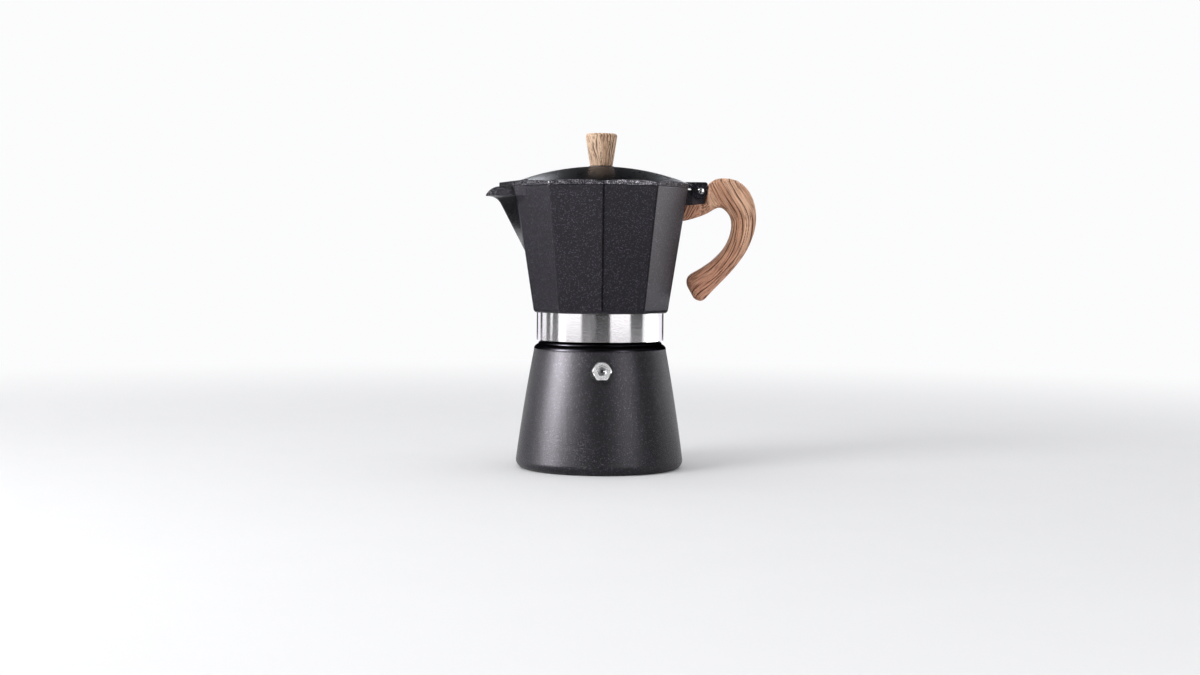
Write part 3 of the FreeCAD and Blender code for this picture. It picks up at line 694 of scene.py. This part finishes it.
# Painted shade: the valve's plunger is near-black so that the hole in the valve's middle reads dark.
plunger_shade_steel = metal_material("plunger_shade_steel", (0.12, 0.12, 0.13, 1), 0.24, 0.40)
bright = metal_material("pin_metal", (0.92, 0.92, 0.94, 1), 0.08, 0.20)
screw = metal_material("screw_metal", (0.60, 0.60, 0.62, 1), 0.22, 0.38)
brass = metal_material("insert_brass", (0.78, 0.57, 0.24, 1), 0.20, 0.36)
spun = spun_material("funnel_metal")
plate = spun_material("plate_metal")
seal = rubber_material("seal_rubber", (0.006, 0.006, 0.006, 1), (0.016, 0.016, 0.017, 1), 0.5)
gasket = rubber_material("gasket_rubber", (0.62, 0.60, 0.55, 1), (0.74, 0.72, 0.68, 1), 0.46)
for name, shade in (
    ("valve_body", chrome),
    ("valve_seal", seal),
    ("valve_retainer", steel),
    ("valve_piston", plunger_shade_steel),
    ("valve_spring", steel),
    ("filter_funnel", spun),
    ("funnel_sieve", spun),
    ("gasket", gasket),
    ("filter_plate", plate),
    ("hinge_pin", bright),
    ("handle_washer", screw),
    ("handle_screw", screw),
    ("knob_insert", brass),
    ("knob_washer", screw),
    ("knob_screw", screw),
):
    assign(name, shade)

# ---------------------------------------------------------------- valve spring
coil = bpy.data.objects.new("coil", NODES["valve_spring"].data.copy())
SCENE.collection.objects.link(coil)
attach(coil, "boiler")
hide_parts("valve_spring")
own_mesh(coil)

# ---------------------------------------------------------------- studio
CAMERA_TURN = math.radians(-1.6)
CAMERA_GAP = 1.080
CAMERA_HEIGHT = 0.1292
CAMERA_PITCH = math.radians(2.72)
CAMERA_ROLL = math.radians(0.45)
POT_MIDDLE = 0.09
BACKDROP = (0.970, 0.972, 0.980, 1)

camera_data = bpy.data.cameras.new("camera")
camera_data.lens = 54.0
camera_data.sensor_width = 36.0
camera = bpy.data.objects.new("camera", camera_data)
SCENE.collection.objects.link(camera)
eye = Vector((math.sin(CAMERA_TURN) * CAMERA_GAP, -math.cos(CAMERA_TURN) * CAMERA_GAP, CAMERA_HEIGHT))
ahead = Vector((-eye.x, -eye.y, 0.0)).normalized() * math.cos(CAMERA_PITCH)
ahead.z = -math.sin(CAMERA_PITCH)
camera.location = eye
camera.rotation_mode = "QUATERNION"
camera.rotation_quaternion = ahead.to_track_quat("-Z", "Y") @ Quaternion((0.0, 0.0, 1.0), CAMERA_ROLL)
SCENE.camera = camera


def studio_world():
    """A white backdrop to the camera, even light on the pot, and reflections that darken upwards."""
    world = bpy.data.worlds.new("studio")
    world.use_nodes = True
    tree = world.node_tree
    tree.nodes.clear()
    output = tree.nodes.new("ShaderNodeOutputWorld")
    chooser = tree.nodes.new("ShaderNodeMixShader")
    seen = tree.nodes.new("ShaderNodeBackground")
    lit = tree.nodes.new("ShaderNodeBackground")
    path = tree.nodes.new("ShaderNodeLightPath")
    sky = tree.nodes.new("ShaderNodeTexCoord")
    parts = tree.nodes.new("ShaderNodeSeparateXYZ")
    fall = tree.nodes.new("ShaderNodeMapRange")
    power = tree.nodes.new("ShaderNodeMix")
    seen.inputs["Color"].default_value = BACKDROP
    lit.inputs["Color"].default_value = (0.985, 0.99, 1.0, 1)
    for name, value in (("From Min", 0.15), ("From Max", 0.75), ("To Min", 1.04), ("To Max", 0.16)):
        fall.inputs[name].default_value = value
    power.inputs[2].default_value = 0.86
    for source, target in (
        (sky.outputs["Generated"], parts.inputs[0]),
        (parts.outputs["Z"], fall.inputs["Value"]),
        (path.outputs["Is Glossy Ray"], power.inputs[0]),
        (fall.outputs["Result"], power.inputs[3]),
        (power.outputs[0], lit.inputs["Strength"]),
        (path.outputs["Is Camera Ray"], chooser.inputs[0]),
        (lit.outputs[0], chooser.inputs[1]),
        (seen.outputs[0], chooser.inputs[2]),
        (chooser.outputs[0], output.inputs["Surface"]),
    ):
        tree.links.new(source, target)
    SCENE.world = world


studio_world()


def around(angle, radius, height):
    """A point at an angle from the camera's direction, to its right when positive."""
    turn = math.radians(angle) + CAMERA_TURN - math.pi / 2
    return Vector((math.cos(turn) * radius, math.sin(turn) * radius, height))


def softbox(name, angle, gap, height, width, tall, watts, diffuse=True):
    """A rectangular lamp aimed at the pot; without diffuse, only reflections see it."""
    light = bpy.data.lights.new(name, "AREA")
    light.shape = "RECTANGLE"
    light.size = width
    light.size_y = tall
    light.energy = watts
    box = bpy.data.objects.new(name, light)
    box.location = around(angle, gap, height)
    aim = Vector((0.0, 0.0, POT_MIDDLE)) - box.location
    box.rotation_mode = "QUATERNION"
    box.rotation_quaternion = aim.to_track_quat("-Z", "Y")
    box.visible_camera = False
    box.visible_diffuse = diffuse
    SCENE.collection.objects.link(box)


softbox("key", -54.0, 1.15, 0.62, 0.60, 0.60, 8.0)
softbox("key_gloss", -72.0, 1.15, 0.48, 0.34, 0.46, 42.0, False)
softbox("fill_gloss", 42.0, 1.25, 0.50, 0.24, 0.60, 7.0, False)
softbox("lid_gloss_left", -152.0, 1.30, 0.70, 0.80, 0.50, 13.0, False)
softbox("lid_gloss_right", 154.0, 1.30, 0.65, 0.50, 0.40, 28.0, False)


def floor_shade():
    """A pale table that fades into the backdrop away from the pot."""
    shade = Shade("floor")
    far = shade.remap(shade.radius()[0], 300.0, 1100.0)
    mottle = shade.noise(shade.place, 0.02, 3.0)
    shade.set(
        Base_Color=shade.mix(mottle, (0.79, 0.79, 0.80, 1), (0.81, 0.81, 0.82, 1)),
        Roughness=shade.blend(mottle, 0.72, 0.80),
        Specular_IOR_Level=0.0,
    )
    choose = shade.add("ShaderNodeMixShader")
    shade.link(far, choose.inputs[0])
    shade.link(shade.bsdf.outputs[0], choose.inputs[1])
    shade.link(shade.glow(BACKDROP), choose.inputs[2])
    shade.link(choose.outputs[0], shade.out.inputs["Surface"])
    return shade.material


FLOOR_SIZE = 8.0
floor_mesh = bpy.data.meshes.new("floor")
bm = bmesh.new()
bmesh.ops.create_grid(bm, x_segments=2, y_segments=2, size=FLOOR_SIZE)
bm.to_mesh(floor_mesh)
bm.free()
floor = bpy.data.objects.new("floor", floor_mesh)
SCENE.collection.objects.link(floor)
floor_mesh.materials.append(floor_shade())

CARD_WHITE = (1.0, 0.99, 1.0, 1)
FLAG_RADIUS = 1.55
CARD_LIFT = 0.002
FLAG_STEP = 3
TABLE_STEP = 5


def show_card(name, start, stop, inner, outer, degrees, level):
    """A card round the set that only reflections see, from start to stop degrees, giving off an even grey.

    Its long edges run through inner and outer, each a pair of radius and height.
    """
    columns = max(3, int((stop - start) / degrees))
    verts = []
    for k in range(columns + 1):
        angle = start + (stop - start) * k / columns
        verts += [tuple(around(angle, *inner)), tuple(around(angle, *outer))]
    faces = [(2 * k, 2 * k + 2, 2 * k + 3, 2 * k + 1) for k in range(columns)]
    mesh = bpy.data.meshes.new(name)
    mesh.from_pydata(verts, [], faces)
    shade = Shade(name)
    shade.link(shade.glow(CARD_WHITE, level), shade.out.inputs["Surface"])
    mesh.materials.append(shade.material)
    card = bpy.data.objects.new(name, mesh)
    SCENE.collection.objects.link(card)
    card.visible_camera = False
    card.visible_diffuse = False
    card.visible_shadow = False
    card.visible_transmission = False


for name, start, stop, bottom, top, level, radius in (
    ("flag_front_left", -33.0, -8.0, 0.0, 1.7, 0.12, FLAG_RADIUS),
    ("flag_front_right", -8.0, 18.0, 0.0, 1.7, 0.0, FLAG_RADIUS),
    ("flag_right", 56.0, 83.0, 0.0, 0.9, 0.03, FLAG_RADIUS),
    ("flag_right_high", 83.0, 95.0, 0.25, 0.9, 0.03, FLAG_RADIUS),
    ("flag_left_a", -95.0, -80.0, 0.0, 0.35, 0.10, FLAG_RADIUS),
    ("flag_left_b", -113.0, -101.0, 0.0, 0.35, 0.10, FLAG_RADIUS),
    ("flag_left_c", -137.0, -128.0, 0.0, 0.20, 0.04, FLAG_RADIUS),
    ("flag_left_high", -165.0, -112.0, 0.25, 1.2, 0.10, FLAG_RADIUS),
    ("flag_back", 152.0, 206.0, 0.0, 1.9, 0.02, FLAG_RADIUS),
    ("white_right", 18.0, 56.0, 0.0, 0.15, 1.12, FLAG_RADIUS),
    ("white_left", -80.0, -33.0, 0.0, 0.15, 1.12, FLAG_RADIUS),
    ("valve_card", -2.5, 5.5, 0.42, 0.57, 1.35, 1.45),
):
    show_card(name, start, stop, (radius, bottom), (radius, top), FLAG_STEP, level)

for name, start, stop, near, distant, level in (
    ("table_left_near", -135.0, -80.0, 0.12, 0.45, 0.16),
    ("table_left_far", -135.0, -80.0, 0.45, 1.3, 0.02),
    ("table_left_edge_near", -80.0, -64.0, 0.12, 0.45, 2.9),
    ("table_left_edge_far", -80.0, -64.0, 0.45, 1.3, 1.7),
    ("table_left_front", -64.0, -15.0, 0.12, 1.3, 0.26),
    ("table_front", -15.0, 15.0, 0.12, 1.3, 0.0),
    ("table_right_front", 15.0, 80.0, 0.12, 1.3, 0.28),
    ("table_right_near", 80.0, 135.0, 0.12, 0.45, 0.0),
    ("table_right", 92.0, 128.0, 0.85, 1.9, 8.0),
):
    show_card(name, start, stop, (near, CARD_LIFT), (distant, CARD_LIFT), TABLE_STEP, level)
